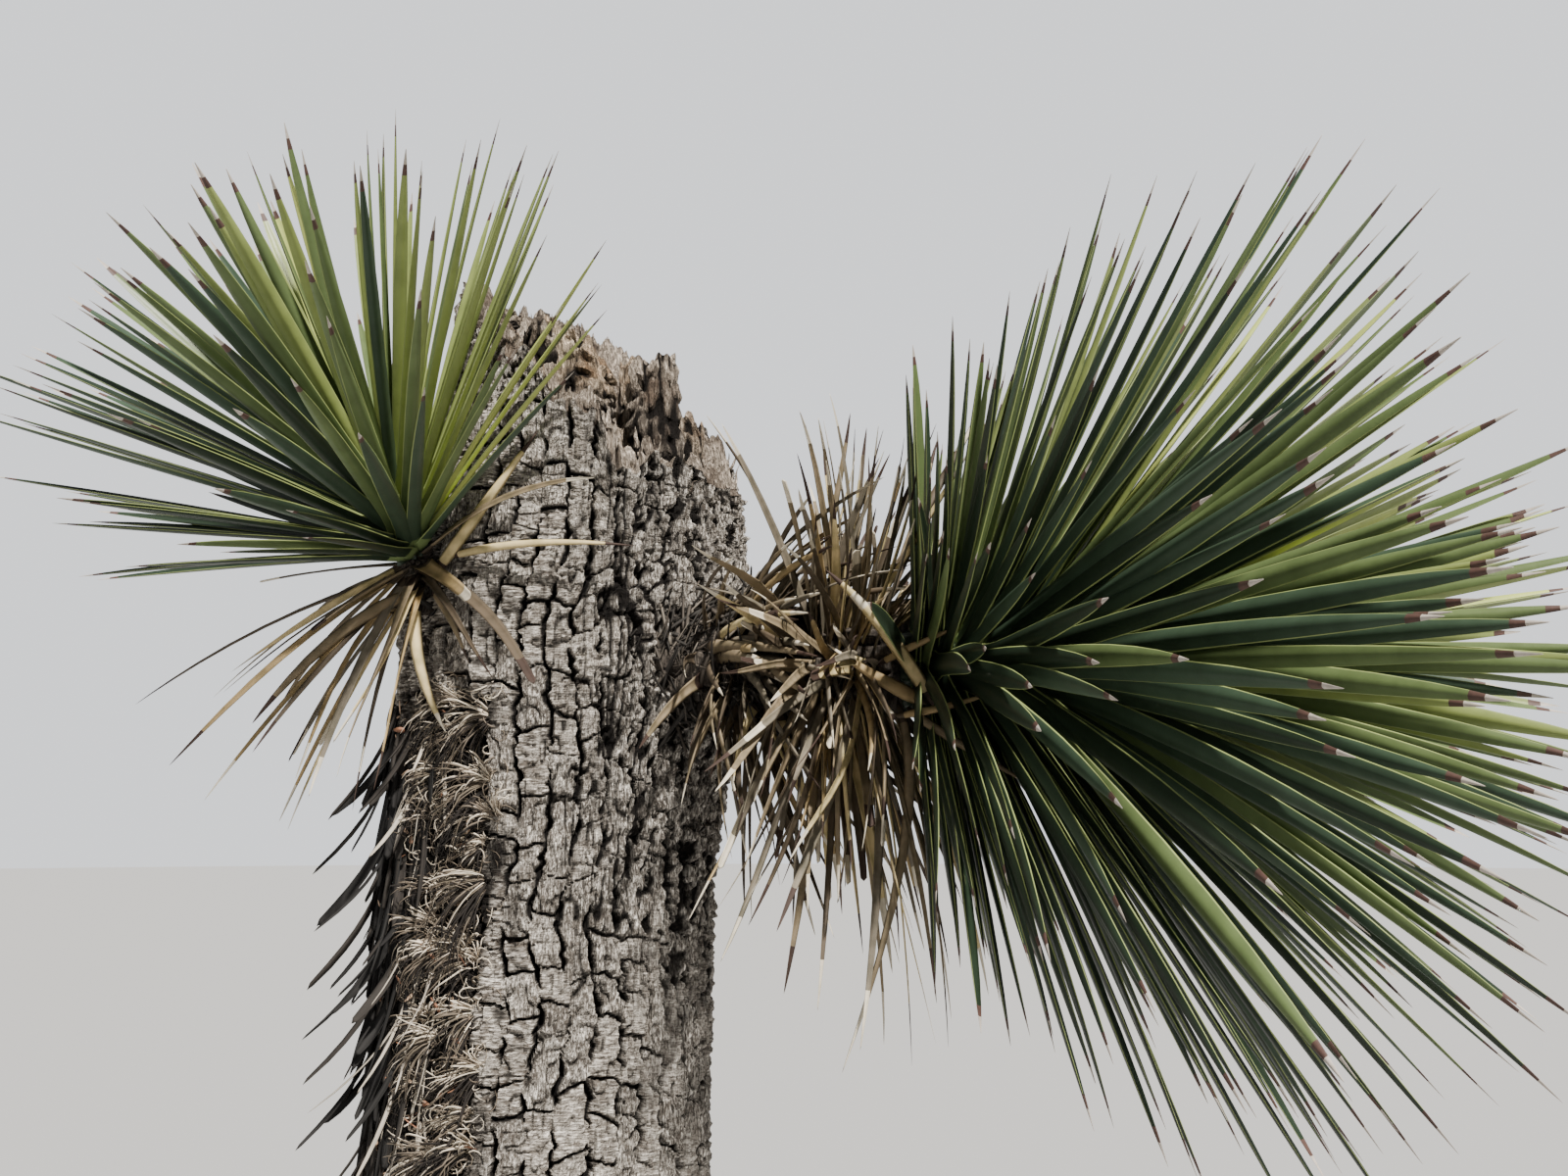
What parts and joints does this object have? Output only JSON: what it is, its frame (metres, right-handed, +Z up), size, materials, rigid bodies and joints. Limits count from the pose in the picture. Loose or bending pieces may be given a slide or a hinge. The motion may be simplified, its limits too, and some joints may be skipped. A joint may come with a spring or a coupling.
{
  "type": "joshua tree",
  "caption": "Broken-topped joshua tree: a flared trunk, a green rosette on a short spur at the left, and a bough with dead leaves and a large rosette at the right.",
  "frame": {"origin": "centre of the flat cut under the trunk, at ground level", "axes": "+Z up the trunk, +X to the side of the large rosette, -Y to the front, where the small rosette and the bough also lean"},
  "size_m": [1.0479, 0.6731, 2.0273],
  "materials": {
    "bark": "rough, cracked into plates",
    "green_leaves": "smooth, slightly waxy",
    "dead_leaves": "dry",
    "old_leaf_bases": "dry and fibrous"
  },
  "bodies": {
    "root": {"trunk": "bark", "right_bough": "bark", "left_spur": "bark", "right_rosette": "green_leaves", "left_rosette": "green_leaves", "right_dead_leaves": "dead_leaves", "left_dead_leaves": "dead_leaves", "leaf_base_strip_upper": "old_leaf_bases", "leaf_base_strip_middle": "old_leaf_bases", "leaf_base_strip_lower": "old_leaf_bases"}
  },
  "joints": []
}
